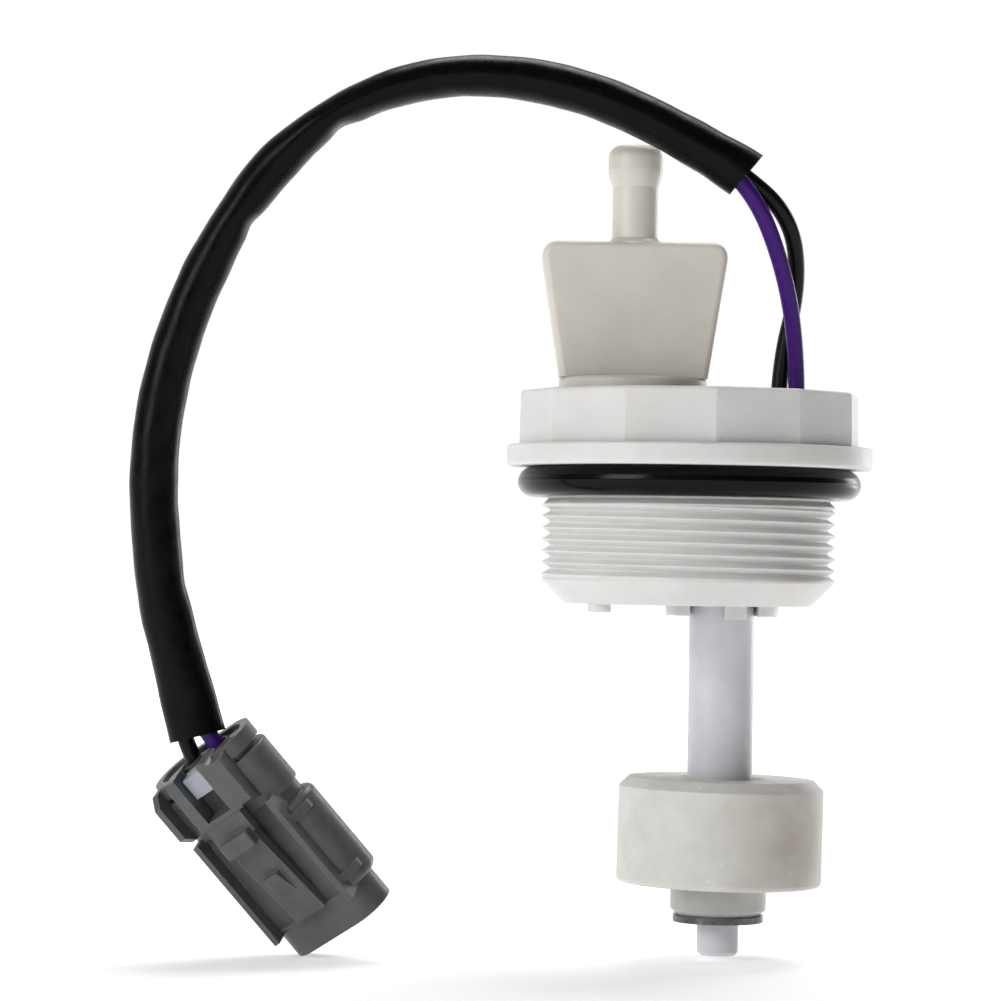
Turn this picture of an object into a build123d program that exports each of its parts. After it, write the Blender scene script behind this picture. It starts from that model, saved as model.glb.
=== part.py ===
from build123d import *

import os
from math import cos, pi, radians, sin, tan

# Water-in-fuel sensor: a threaded plastic head with a drain screw, a reed stem with a ring float,
# and a two-wire lead that ends in a sealed two-way connector. Sizes are in millimetres.
# The origin is on the axis of the head's thread, in the underside of its flange. +Z points from the
# stem to the drain nipple. A name that ends in _AT, _TOP or _BOTTOM is a height along Z.

# Head
FLANGE_RADIUS = 23.7
FLANGE_THICKNESS = 2.8
FLANGE_EDGE = 0.4
HEAD_SIDES = 12
HEAD_ACROSS_FLATS = 43.0
HEAD_HEIGHT = 7.0
HEAD_TURN = 5.5
HEAD_DRAFT = 1.0
HEAD_EDGE = 0.5
HEAD_CORNER = 0.5
GLAND_RADIUS = 18.3
GLAND_LENGTH = 4.2
THREAD_RADIUS = 19.0
THREAD_END_AT = -14.65
SPIGOT_BOTTOM = -17.65
SPIGOT_CHAMFER = 3.0
RECESS_RADIUS = 13.8
POST_RADIUS = 1.5
POST_PLACE = (-11.7, -8.6)
POST_DROP = 1.0
BOSS_RADIUS = 7.5
BOSS_DROP = 1.4
BOSS_MOUTH = 4.4
BOSS_STEP = 0.2
LUG_SIZE = (2.8, 2.4)
LUG_CORNER = 0.6
LUG_PLACE = (5.9, -5.6)
LUG_DROP = 1.8

# Ring under the flange
RING_SECTION = 3.9
RING_GAP = 0.04

# Stem, its stop bush and its washer
STEM_X = 4.5
STEM_RADIUS = 4.22
STEM_BORE = 2.9
STEM_TOP = 1.0
STEM_END_AT = -57.8
STEM_FLOOR = 1.8
NUB_RADIUS = 2.7
NUB_BOTTOM = -63.0
NUB_CHAMFER = 0.45
SOCKET_CLEARANCE = 0.03
BUSH_RADIUS = 6.2
BUSH_HEIGHT = 3.9
BUSH_CHAMFER = 0.8
BUSH_CLEARANCE = 0.05
WASHER_RADIUS = 5.85
WASHER_THICKNESS = 0.35
WASHER_LIP = 0.5
WASHER_TOOTH_ROOT = 4.0
WASHER_TEETH = 8
WASHER_SLOT = 0.8
WASHER_TOOTH_DROP = 0.6
WASHER_CLEARANCE = 0.03

# Float and its magnet
FLOAT_RADIUS = 13.3
FLOAT_HEIGHT = 13.7
FLOAT_BORE = 5.0
FLOAT_TOP_CHAMFER = 1.25
FLOAT_BOTTOM_EDGE = 0.7
FLOAT_BORE_CHAMFER = 0.7
FLOAT_TILT = 1.0
FLOAT_GAP = 0.02
MAGNET_RADIUS = 8.5
MAGNET_BORE = 5.4
MAGNET_HEIGHT = 5.0
MAGNET_LIFT = 4.2
MAGNET_CLEARANCE = 0.05

# Drain screw and the valve bore that it turns in
DRAIN_X = -7.5
COLLAR_RADIUS = 9.6
COLLAR_HEIGHT = 1.8
COLLAR_SUNK = 1.0
COLLAR_CLEARANCE = 0.3
COLLAR_EDGE = 0.35
WING_BASE_WIDTH = 19.2
WING_TOP_WIDTH = 24.7
WING_HEIGHT = 17.6
WING_CORNER = 2.0
WING_THICKNESS = 7.5
WING_EDGE = 0.9
NIPPLE_RADIUS = 2.95
NIPPLE_FOOT = 0.6
NIPPLE_HEIGHT = 12.6
BULB_RADIUS = 3.55
BULB_START = 7.2
BULB_LAND_START = 9.4
BULB_LAND = 1.7
NIPPLE_MOUTH_RADIUS = 2.45
BULB_ROUND = 0.3
DRAIN_BORE = 1.5
DRAIN_BORE_END_AT = -8.6
CROSS_HOLE_RADIUS = 1.0
CROSS_HOLE_AT = -7.5
DRAIN_THREAD_RADIUS = 5.5
RUNNING_CLEARANCE = 0.06
CROSS_HOLE_LENGTH = 12.6
BULB_SWELL = 0.075
EDGE_MARGIN = 0.01
DRAIN_THREAD_LENGTH = 6.5
THREAD_BORE_LENGTH = 7.2
SEAL_BORE_RADIUS = 4.2
SEAL_BORE_BOTTOM = -10.5
SEAT_RADIUS = 3.42
NECK_CLEARANCE = 0.3
NOSE_TOP = -9.6
NOSE_BOTTOM = -13.4
NOSE_CHAMFER = 0.5
SEAL_SECTION = 1.4
SHANK_SEAL_AT = -4.6
NOSE_SEAL_AT = -12.0
SEAL_PLAY = 0.06
VALVE_WALL = 1.7

# Well for the wires, filled with resin
WELL_NEAR_X = 5.8
WELL_FAR_X = 12.6
WELL_RADIUS = 2.9
WELL_FLOOR_THICKNESS = 1.7
RESIN_SUNK = 0.5

# Reed switch and its leads
REED_Y = 1.0
REED_MIDDLE_AT = -46.5
REED_LENGTH = 14.0
REED_RADIUS = 1.1
REED_WALL = 0.3
REED_SEAL = 2.2
REED_END_ROUND = 0.5
BLADE_WIDTH = 0.9
BLADE_THICKNESS = 0.24
BLADE_OVERLAP = 1.2
BLADE_GAP = 0.1
LEAD_RADIUS = 0.25
RETURN_Y = -1.3
RETURN_BEND_AT = -55.2
LEAD_SLEEVE_RADIUS = 0.6
LEAD_SLEEVE_BOTTOM = -54.0
LEAD_SLEEVE_TOP = 0.5
LEAD_BEND = 0.6
LEAD_OVERRUN = 0.9
LEAD_GAP = 0.1

# Wires and their sleeve. Each route is the list of its turning points.
WIRE_DIAMETER = 2.15
SLEEVE_DIAMETER = 6.5
SLEEVE_BORE = 5.7
BLACK_EXIT = (11.4, 0.4)
VIOLET_EXIT = (13.8, -0.5)
WIRE_START_AT = 3.0
SLEEVE_Y = -9.0
WIRE_OFFSET = 1.15
SLEEVE_MOUTH = (6.3, 37.4)
ARCH = [
    (-3.6, 43.5),
    (-17.6, 49.0),
    (-32.3, 50.0),
    (-46.0, 45.4),
    (-57.2, 34.8),
    (-65.5, 18.4),
    (-69.2, 1.4),
    (-67.9, -15.7),
]
SLEEVE_FOOT = [(-65.25, -25.5), (-63.25, -34.0)]
BLACK_RISE = [(11.3, 0.5, 12.5), (13.9, -1.4, 24.0), (12.3, -5.6, 32.6), (5.2, -7.85, 38.3)]
VIOLET_RISE = [(13.9, -1.2, 13.0), (11.9, -5.2, 25.0), (6.8, -9.7, 36.4)]
BLACK_FOOT = [(-65.2, -7.9, -28.4)]
VIOLET_FOOT = [(-64.3, -10.1, -27.2), (-62.5, -9.8, -33.4)]
RUN_SHARE = 0.45
ROUTE_TO_CRIMP = 0.4
ROUTE_ENTRY = -0.5

# Connector. It has its own directions: along its axis from the wires to its mouth, across its width,
# and out of its latch side. Stations are measured along the axis from its rear rim.
CONNECTOR_REAR = (-62.1, -9.0, -37.4)
CONNECTOR_DIP = 50.0
CONNECTOR_RECEDE = 11.5
CONNECTOR_ROLL = 26.0
HOUSING_LENGTH = 29.0
RIM_WIDTH = 15.6
RIM_HEIGHT = 8.6
RIM_LENGTH = 2.0
GROOVE_DEPTH = 0.7
GROOVE_LENGTH = 0.7
POCKET_WALL = 1.2
POCKET_DEPTH = 3.6
BARREL_WIDTH = 16.4
BARREL_HEIGHT = 8.2
BARREL_END = 9.6
SHOULDER_WIDTH = 18.0
SHOULDER_START = 11.2
SHOULDER_END = 24.8
SHOULDER_EDGE = 0.9
BARREL_EDGE = 0.4
SKIRT_WIDTH = 15.4
SKIRT_HEIGHT = 7.8
SKIRT_WALL = 1.1
SOCKET_FLOOR = 15.6
CORE_WIDTH = 10.6
CORE_HEIGHT = 4.4
CORE_SUNK = 1.2
CORE_WALL = 1.0
CAVITY_PITCH = 4.8
CAVITY_RADIUS = 1.95
CAVITY_END = 9.4
TERMINAL_SIZE = 1.9
TERMINAL_CLEARANCE = 0.15
TERMINAL_LENGTH = 12.0
TERMINAL_BORE = 0.55
PIN_HOLE = 0.6
FRAME_START = -0.4
FRAME_TOP = 6.5
FRAME_FOOT = 2.0
FRAME_HALF_WIDTH = 3.6
FRAME_END = 7.3
FRAME_CORNER = 1.2
WINDOW_HALF_WIDTH = 1.95
WINDOW_END = 6.7
WINDOW_FLOOR = 3.4
SIDE_WALL_ACROSS = 5.3
SIDE_WALL = [(0.4, 2.0), (0.4, 6.5), (6.9, 6.5), (8.7, 2.0)]
LEG_NEAR = 2.9
LEG_END = 10.4
LEG_TOP = 5.6
TROUGH_START = 9.1
TROUGH_END = 24.4
TROUGH_FLOOR = 3.4
TROUGH_HALF_WIDTH = 5.9
THUMB_TOP = 8.0
THUMB_HALF_WIDTH = 2.35
THUMB_START = 9.7
THUMB_END = 12.1
THUMB_EDGE = 0.35
LEVER_START = 6.9
LEVER_PLATE_END = 10.6
LEVER_PLATE_HALF_WIDTH = 2.75
TONGUE_HALF_WIDTH = 2.4
TONGUE_TOP = 6.4
TONGUE_END_TOP = 4.9
TONGUE_UNDER = 5.0
TONGUE_ROOT = 21.2
TONGUE_ROOT_UNDER = 3.9
BUMP_START = 16.8
BUMP_END = 20.6
BUMP_HEIGHT = 1.1
BUMP_HALF_WIDTH = 1.15
RAIL_NEAR = 5.9
RAIL_FAR = 6.7
RAIL_TOP = 5.7
RAIL_FOOT = 2.2
RAIL_END = 25.2
CROSS_RIB_STATIONS = (12.1, 22.1)
CROSS_RIB_THICKNESS = 1.1
CROSS_RIB_REACH = 8.7
CROSS_RIB_END_HEIGHT = 2.2
CROSS_RIB_DROP = 0.3
GUARD_NEAR = 6.4
GUARD_FAR = 7.3
GUARD_SIDE = [(0.4, 0.8), (0.4, 4.2), (1.8, 5.9), (6.8, 5.9), (8.2, 3.8), (8.2, 0.8)]
RETAINER_THICKNESS = 1.2
RETAINER_CLEARANCE = 0.12
RETAINER_SUNK = 0.6
TAB_HALF_WIDTH = 1.75
TAB_THICKNESS = 0.8
TAB_REACH = 2.2
TAB_LIFT = 4.3
SEAL_START = 0.2
WIRE_SEAL_END = 8.0
WIRE_SEAL_GRIP = 4.2
WIRE_SEAL_MOUTH = 1.65
WIRE_SEAL_FIT = 0.04
SEAL_HOLE_CLEARANCE = 0.12
MOUTH_SEAL_LENGTH = 2.6
MOUTH_SEAL_FIT = 0.04
CRIMP_LENGTH = 0.8
CRIMP_WALL = 0.25
CRIMP_END_WALL = 0.3

# How far a solid reaches into its neighbour, or a cut past it, so that they share no face
OVERLAP = 1.0

# Derived places
HEAD_TOP = FLANGE_THICKNESS + HEAD_HEIGHT
COLLAR_BOTTOM = HEAD_TOP - COLLAR_SUNK
WING_BASE = COLLAR_BOTTOM + COLLAR_SUNK + COLLAR_HEIGHT
WING_TOP = WING_BASE + WING_HEIGHT
NIPPLE_TOP = WING_TOP + NIPPLE_HEIGHT
THREAD_BORE_BOTTOM = COLLAR_BOTTOM - THREAD_BORE_LENGTH
DRAIN_THREAD_BOTTOM = COLLAR_BOTTOM - DRAIN_THREAD_LENGTH
NECK_RADIUS = SEAL_BORE_RADIUS - NECK_CLEARANCE
NOSE_RADIUS = SEAT_RADIUS - NECK_CLEARANCE
SHANK_SEAL_RADIUS = SEAL_BORE_RADIUS - SEAL_PLAY - SEAL_SECTION / 2
NOSE_SEAL_RADIUS = SEAT_RADIUS - SEAL_PLAY - SEAL_SECTION / 2
RECESS_ROOF = STEM_TOP - WELL_FLOOR_THICKNESS
BOSS_BOTTOM = SPIGOT_BOTTOM - BOSS_DROP
SOCKET_RADIUS = STEM_RADIUS + SOCKET_CLEARANCE
RESIN_TOP = HEAD_TOP - RESIN_SUNK
LEAD_CROSSING_AT = WIRE_START_AT - LEAD_GAP - LEAD_RADIUS
BUSH_TOP = STEM_END_AT + BUSH_HEIGHT
FLOAT_BOTTOM = BUSH_TOP + FLOAT_GAP + BUSH_RADIUS * sin(radians(FLOAT_TILT))
WIRE_RADIUS = WIRE_DIAMETER / 2
CAVITY_PLACES = {"black": -CAVITY_PITCH / 2, "violet": CAVITY_PITCH / 2}
POCKET_WIDTH = RIM_WIDTH - 2 * POCKET_WALL
POCKET_HEIGHT = RIM_HEIGHT - 2 * POCKET_WALL
WIRE_SEAL_RADIUS = CAVITY_RADIUS - WIRE_SEAL_FIT
ROUTE_END = CAVITY_END - ROUTE_TO_CRIMP
PASSAGE_SIZE = TERMINAL_SIZE + 2 * TERMINAL_CLEARANCE
CORE_FRONT = HOUSING_LENGTH - CORE_SUNK
PASSAGE_END = CORE_FRONT - CORE_WALL


def connector_directions():
    """Axis, width and latch directions of the connector, from its three angles."""
    dip = radians(CONNECTOR_DIP)
    recede = radians(CONNECTOR_RECEDE)
    roll = radians(CONNECTOR_ROLL)
    axis = Vector(cos(recede) * cos(dip), sin(recede), -cos(recede) * sin(dip))
    rising = Vector(sin(dip), 0, cos(dip))
    facing = Vector(cos(dip) * sin(recede), -cos(recede), -sin(dip) * sin(recede))
    width = rising * cos(roll) + facing * sin(roll)
    latch = facing * cos(roll) - rising * sin(roll)
    return axis, width, latch


AXIS, ACROSS, OUTWARD = connector_directions()
CONNECTOR_LINE = Axis(CONNECTOR_REAR, tuple(AXIS))
DRAIN_AXIS = Axis((DRAIN_X, 0, 0), (0, 0, 1))
DRAIN_SIDE = Plane(origin=(DRAIN_X, 0, 0), x_dir=(1, 0, 0), z_dir=(0, -1, 0))
STEM_AXIS = Axis((STEM_X, 0, 0), (0, 0, 1))
STEM_SIDE = Plane(origin=(STEM_X, 0, 0), x_dir=(1, 0, 0), z_dir=(0, -1, 0))
REED_AXIS = Axis((STEM_X, REED_Y, REED_MIDDLE_AT), (0, 0, 1))
REED_SIDE = Plane(origin=(STEM_X, REED_Y, REED_MIDDLE_AT), x_dir=(1, 0, 0), z_dir=(0, -1, 0))
FLOAT_LEAN = (sin(radians(FLOAT_TILT)), 0, cos(radians(FLOAT_TILT)))
FLOAT_AXIS = Axis((STEM_X, 0, FLOAT_BOTTOM), FLOAT_LEAN)
FLOAT_SIDE = Plane(
    origin=(STEM_X, 0, FLOAT_BOTTOM), x_dir=(FLOAT_LEAN[2], 0, -FLOAT_LEAN[0]), z_dir=(0, -1, 0)
)


def in_connector(station, across=0.0, out=0.0):
    """The place at a station of the connector, off its axis by across and out."""
    return Vector(*CONNECTOR_REAR) + AXIS * station + ACROSS * across + OUTWARD * out


def cross_section(station, across=0.0):
    """Plane across the connector's axis: its x is the width, its y points out of the latch side."""
    return Plane(origin=in_connector(station, across), x_dir=ACROSS, z_dir=AXIS)


def side_view(across=0.0):
    """Plane along the connector's axis that faces across: x is the station, y points outward."""
    return Plane(origin=in_connector(0, across), x_dir=AXIS, z_dir=AXIS.cross(OUTWARD))


def top_view(out):
    """Plane over the connector's latch side: x is the station, y runs across."""
    return Plane(origin=in_connector(0, 0, out), x_dir=AXIS, z_dir=OUTWARD)


def racetrack(station, width, height):
    """Section with round ends at a station of the connector."""
    with BuildSketch(cross_section(station)) as section:
        SlotOverall(width, height)
    return section.sketch


def block(station, left, right, foot, top):
    """Rectangle at a station of the connector, between two sides and two heights."""
    with BuildSketch(cross_section(station)) as section:
        with Locations(((left + right) / 2, (foot + top) / 2)):
            Rectangle(right - left, top - foot)
    return section.sketch


def side_outline(points, across=0.0):
    """Outline in the connector's side view, from (station, height) points."""
    with BuildSketch(side_view(across)) as section:
        with BuildLine():
            Polyline(*points, close=True)
        make_face()
    return section.sketch


def half_section(plane, points):
    """Half section in a plane, from (radius, height) points, for a body of revolution."""
    with BuildSketch(plane) as section:
        with BuildLine():
            Polyline(*points, close=True)
        make_face()
    return section.sketch


def route_radii(points):
    """Largest tangent arcs that the runs between the points allow."""
    radii = []
    for before, corner, after in zip(points, points[1:], points[2:]):
        run_in = Vector(*corner) - Vector(*before)
        run_out = Vector(*after) - Vector(*corner)
        half_turn = radians(run_in.get_angle(run_out)) / 2
        radii.append(RUN_SHARE * min(run_in.length, run_out.length) / tan(half_turn))
    return radii


def tube_along(points, diameter, bore=0.0):
    """Round tube whose middle follows straight runs joined by tangent arcs, and its length."""
    with BuildPart() as tube:
        with BuildLine() as path:
            FilletPolyline(*points, radius=route_radii(points))
        with BuildSketch(Plane(origin=path.line @ 0, z_dir=path.line % 0)):
            Circle(diameter / 2)
            if bore:
                Circle(bore / 2, mode=Mode.SUBTRACT)
        sweep(path=path.line)
    return tube.part, path.wire().length


def drum(start, width, height, end, edge):
    """Barrel of racetrack section between two stations, with rounded rims."""
    with BuildPart() as barrel:
        extrude(racetrack(start, width, height), amount=end - start)
        rims = barrel.faces().filter_by(GeomType.PLANE).sort_by(CONNECTOR_LINE)
        fillet(rims[0].edges() + rims[-1].edges(), edge)
    return barrel.part


def slab(start, end, half_width, foot, top, edge):
    """Block between two stations and two heights, with rounded edges."""
    with BuildPart() as body:
        extrude(block(start, -half_width, half_width, foot, top), amount=end - start)
        fillet(body.edges(), edge)
    return body.part


def lead_along(points):
    """Bare round lead with small bends."""
    with BuildPart() as lead:
        with BuildLine() as path:
            FilletPolyline(*points, radius=LEAD_BEND)
        with BuildSketch(Plane(origin=path.line @ 0, z_dir=path.line % 0)):
            Circle(LEAD_RADIUS)
        sweep(path=path.line)
    return lead.part


def seal_groove(seal_radius, shaft_radius, height):
    """Half section of a seal's groove in the drain screw, out to just past the shaft."""
    half = SEAL_SECTION / 2 + SEAL_PLAY
    inner = seal_radius - half
    outer = shaft_radius + OVERLAP
    corners = [(inner, height - half), (outer, height - half), (outer, height + half), (inner, height + half)]
    return half_section(DRAIN_SIDE, corners)


def save(part, name):
    """Label a finished piece with its node name and write it."""
    part.label = name
    export_step(part, f"parts/{name}.step")


def print_route(name, points, part, length, bore=0.0, diameter=WIRE_DIAMETER):
    """Print a cord's bend radii, its length, and its volume over its section times its length."""
    radii = ", ".join(f"{radius:.1f}" for radius in route_radii(points))
    section_area = pi * (diameter**2 - bore**2) / 4
    print(f"{name}: length {length:.2f}, radii {radii}, share {part.volume / section_area / length:.4f}")


os.makedirs("parts", exist_ok=True)

# The two wires and the sleeve round them
sleeve_points = [
    (SLEEVE_MOUTH[0], SLEEVE_Y, SLEEVE_MOUTH[1]),
    *[(x, SLEEVE_Y, z) for x, z in ARCH + SLEEVE_FOOT],
]
black_points = [
    (*BLACK_EXIT, WIRE_START_AT),
    *BLACK_RISE,
    *[(x, SLEEVE_Y + WIRE_OFFSET, z) for x, z in ARCH],
    *BLACK_FOOT,
    tuple(in_connector(ROUTE_ENTRY, CAVITY_PLACES["black"])),
    tuple(in_connector(ROUTE_END, CAVITY_PLACES["black"])),
]
violet_points = [
    (*VIOLET_EXIT, WIRE_START_AT),
    *VIOLET_RISE,
    *[(x, SLEEVE_Y - WIRE_OFFSET, z) for x, z in ARCH],
    *VIOLET_FOOT,
    tuple(in_connector(ROUTE_ENTRY, CAVITY_PLACES["violet"])),
    tuple(in_connector(ROUTE_END, CAVITY_PLACES["violet"])),
]
black_wire, black_length = tube_along(black_points, WIRE_DIAMETER)
violet_wire, violet_length = tube_along(violet_points, WIRE_DIAMETER)
wire_sleeve, sleeve_length = tube_along(sleeve_points, SLEEVE_DIAMETER, SLEEVE_BORE)
print_route("black_wire", black_points, black_wire, black_length)
print_route("violet_wire", violet_points, violet_wire, violet_length)
print_route("wire_sleeve", sleeve_points, wire_sleeve, sleeve_length, SLEEVE_BORE, SLEEVE_DIAMETER)
save(black_wire, "black_wire")
save(violet_wire, "violet_wire")
save(wire_sleeve, "wire_sleeve")

# Head: flange, twelve-sided grip and threaded spigot in one moulding
with BuildPart() as head_body:
    with BuildSketch(Plane.XZ):
        with BuildLine():
            Polyline(
                (0, FLANGE_THICKNESS),
                (FLANGE_RADIUS, FLANGE_THICKNESS),
                (FLANGE_RADIUS, 0),
                (GLAND_RADIUS, 0),
                (GLAND_RADIUS, -GLAND_LENGTH),
                (THREAD_RADIUS, -GLAND_LENGTH - (THREAD_RADIUS - GLAND_RADIUS)),
                (THREAD_RADIUS, THREAD_END_AT),
                (THREAD_RADIUS - SPIGOT_CHAMFER, SPIGOT_BOTTOM),
                (0, SPIGOT_BOTTOM),
                close=True,
            )
        make_face()
    revolve(axis=Axis.Z)
    flange_rims = head_body.edges().filter_by(GeomType.CIRCLE).filter_by(
        lambda rim: abs(rim.radius - FLANGE_RADIUS) < FLANGE_EDGE / 2
    )
    fillet(flange_rims, FLANGE_EDGE)
    with BuildSketch(Plane.XY.offset(FLANGE_THICKNESS)) as grip:
        RegularPolygon(HEAD_ACROSS_FLATS / 2, HEAD_SIDES, major_radius=False, rotation=HEAD_TURN)
        fillet(grip.vertices(), HEAD_CORNER)
    extrude(amount=HEAD_HEIGHT, taper=HEAD_DRAFT)
    fillet(head_body.faces().sort_by(Axis.Z)[-1].outer_wire().edges(), HEAD_EDGE)

    # Recess in the spigot round the valve tube and the stem's boss
    with BuildSketch(Plane.XY.offset(SPIGOT_BOTTOM)):
        Circle(RECESS_RADIUS)
        with Locations((DRAIN_X, 0)):
            Circle(SEAL_BORE_RADIUS + VALVE_WALL, mode=Mode.SUBTRACT)
        with Locations((STEM_X, 0)):
            Circle(BOSS_RADIUS, mode=Mode.SUBTRACT)
    extrude(amount=RECESS_ROOF - SPIGOT_BOTTOM, mode=Mode.SUBTRACT)
    with BuildSketch(Plane.XY.offset(SPIGOT_BOTTOM - POST_DROP)):
        with Locations(POST_PLACE):
            Circle(POST_RADIUS)
    extrude(amount=RECESS_ROOF - SPIGOT_BOTTOM + POST_DROP)

    # Stem boss: a ring below the spigot, open at the front, with one lug
    with BuildSketch(Plane.XY.offset(BOSS_BOTTOM)):
        with Locations((STEM_X, 0)):
            Circle(BOSS_RADIUS - BOSS_STEP)
        with Locations((STEM_X, -BOSS_RADIUS)):
            Rectangle(2 * BOSS_MOUTH, 2 * BOSS_RADIUS, mode=Mode.SUBTRACT)
    extrude(amount=BOSS_DROP)
    with BuildSketch(Plane.XY.offset(SPIGOT_BOTTOM - LUG_DROP)):
        with Locations(LUG_PLACE):
            RectangleRounded(*LUG_SIZE, LUG_CORNER)
    extrude(amount=LUG_DROP)

    # Stem socket and the wire well above it
    with BuildSketch(Plane.XY.offset(STEM_TOP)):
        with Locations((STEM_X, 0)):
            Circle(SOCKET_RADIUS)
    extrude(amount=SPIGOT_BOTTOM - LUG_DROP - STEM_TOP, mode=Mode.SUBTRACT)
    with BuildSketch(Plane.XY.offset(STEM_TOP)):
        with Locations(((WELL_NEAR_X + WELL_FAR_X) / 2, 0)):
            SlotCenterToCenter(WELL_FAR_X - WELL_NEAR_X, 2 * WELL_RADIUS)
    extrude(amount=HEAD_TOP - STEM_TOP, mode=Mode.SUBTRACT)

    # Valve bore, from the collar's seat down to the inlet
    with BuildSketch(DRAIN_SIDE):
        with BuildLine():
            Polyline(
                (0, HEAD_TOP),
                (COLLAR_RADIUS + COLLAR_CLEARANCE, HEAD_TOP),
                (COLLAR_RADIUS + COLLAR_CLEARANCE, COLLAR_BOTTOM),
                (DRAIN_THREAD_RADIUS, COLLAR_BOTTOM),
                (DRAIN_THREAD_RADIUS, THREAD_BORE_BOTTOM),
                (SEAL_BORE_RADIUS, THREAD_BORE_BOTTOM),
                (SEAL_BORE_RADIUS, SEAL_BORE_BOTTOM),
                (SEAT_RADIUS, SEAL_BORE_BOTTOM - (SEAL_BORE_RADIUS - SEAT_RADIUS)),
                (SEAT_RADIUS, SPIGOT_BOTTOM),
                (0, SPIGOT_BOTTOM),
                close=True,
            )
        make_face()
    revolve(axis=DRAIN_AXIS, mode=Mode.SUBTRACT)
save(head_body.part, "head_body")

# Seal ring in the corner of the flange and the gland land
with BuildPart() as flange_o_ring:
    with BuildSketch(Plane.XZ):
        with Locations((GLAND_RADIUS + RING_GAP + RING_SECTION / 2, -RING_GAP - RING_SECTION / 2)):
            Circle(RING_SECTION / 2)
    revolve(axis=Axis.Z)
save(flange_o_ring.part, "flange_o_ring")

# Drain screw: nipple, wing grip, collar, threaded shank and valve nose in one moulding
with BuildPart() as drain_plug:
    with BuildSketch(DRAIN_SIDE) as wing:
        with BuildLine():
            Polyline(
                (-WING_BASE_WIDTH / 2, WING_BASE),
                (-WING_TOP_WIDTH / 2, WING_TOP),
                (WING_TOP_WIDTH / 2, WING_TOP),
                (WING_BASE_WIDTH / 2, WING_BASE),
                close=True,
            )
        make_face()
        fillet(wing.vertices().group_by(Axis.Y)[-1], WING_CORNER)
    extrude(amount=WING_THICKNESS / 2, both=True)
    outline_reach = WING_THICKNESS / 2 - EDGE_MARGIN
    outlines = drain_plug.edges().filter_by(lambda edge: abs(edge.center().Y) > outline_reach)
    fillet(outlines.filter_by(lambda edge: edge.center().Z > WING_BASE + EDGE_MARGIN), WING_EDGE)
    with BuildSketch(DRAIN_SIDE):
        with BuildLine():
            Polyline(
                (0, NIPPLE_TOP),
                (0, NOSE_BOTTOM),
                (NOSE_RADIUS - NOSE_CHAMFER, NOSE_BOTTOM),
                (NOSE_RADIUS, NOSE_BOTTOM + NOSE_CHAMFER),
                (NOSE_RADIUS, NOSE_TOP),
                (NECK_RADIUS, NOSE_TOP),
                (NECK_RADIUS, DRAIN_THREAD_BOTTOM),
                (DRAIN_THREAD_RADIUS - RUNNING_CLEARANCE, DRAIN_THREAD_BOTTOM),
                (DRAIN_THREAD_RADIUS - RUNNING_CLEARANCE, COLLAR_BOTTOM),
                (COLLAR_RADIUS, COLLAR_BOTTOM),
                (COLLAR_RADIUS, WING_BASE - COLLAR_EDGE),
                (COLLAR_RADIUS - COLLAR_EDGE, WING_BASE),
                (NIPPLE_RADIUS, WING_BASE),
                (NIPPLE_RADIUS, WING_TOP - WING_EDGE),
                (NIPPLE_RADIUS + NIPPLE_FOOT, WING_TOP),
                (NIPPLE_RADIUS, WING_TOP + NIPPLE_FOOT),
                (NIPPLE_RADIUS, WING_TOP + BULB_START),
            )
            SagittaArc(
                (NIPPLE_RADIUS, WING_TOP + BULB_START),
                (BULB_RADIUS, WING_TOP + BULB_LAND_START),
                -BULB_SWELL,
            )
            Polyline(
                (BULB_RADIUS, WING_TOP + BULB_LAND_START),
                (BULB_RADIUS, WING_TOP + BULB_LAND_START + BULB_LAND),
            )
            SagittaArc(
                (BULB_RADIUS, WING_TOP + BULB_LAND_START + BULB_LAND),
                (NIPPLE_MOUTH_RADIUS, NIPPLE_TOP),
                -BULB_ROUND,
            )
            Polyline((NIPPLE_MOUTH_RADIUS, NIPPLE_TOP), (0, NIPPLE_TOP))
        make_face()
    revolve(axis=DRAIN_AXIS)
    revolve(seal_groove(SHANK_SEAL_RADIUS, NECK_RADIUS, SHANK_SEAL_AT), axis=DRAIN_AXIS, mode=Mode.SUBTRACT)
    revolve(seal_groove(NOSE_SEAL_RADIUS, NOSE_RADIUS, NOSE_SEAL_AT), axis=DRAIN_AXIS, mode=Mode.SUBTRACT)
    with Locations((DRAIN_X, 0, NIPPLE_TOP)):
        Hole(DRAIN_BORE, depth=NIPPLE_TOP - DRAIN_BORE_END_AT)
    with Locations((DRAIN_X, 0, CROSS_HOLE_AT)):
        Cylinder(CROSS_HOLE_RADIUS, CROSS_HOLE_LENGTH, rotation=(0, 90, 0), mode=Mode.SUBTRACT)
save(drain_plug.part, "drain_plug")

# The drain screw's two seal rings: one round its neck, one on its nose
for ring_name, ring_radius, ring_at in (
    ("plug_upper_seal", SHANK_SEAL_RADIUS, SHANK_SEAL_AT),
    ("plug_seat_seal", NOSE_SEAL_RADIUS, NOSE_SEAL_AT),
):
    with BuildPart() as seal_ring:
        with BuildSketch(DRAIN_SIDE):
            with Locations((ring_radius, ring_at)):
                Circle(SEAL_SECTION / 2)
        revolve(axis=DRAIN_AXIS)
    save(seal_ring.part, ring_name)

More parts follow.
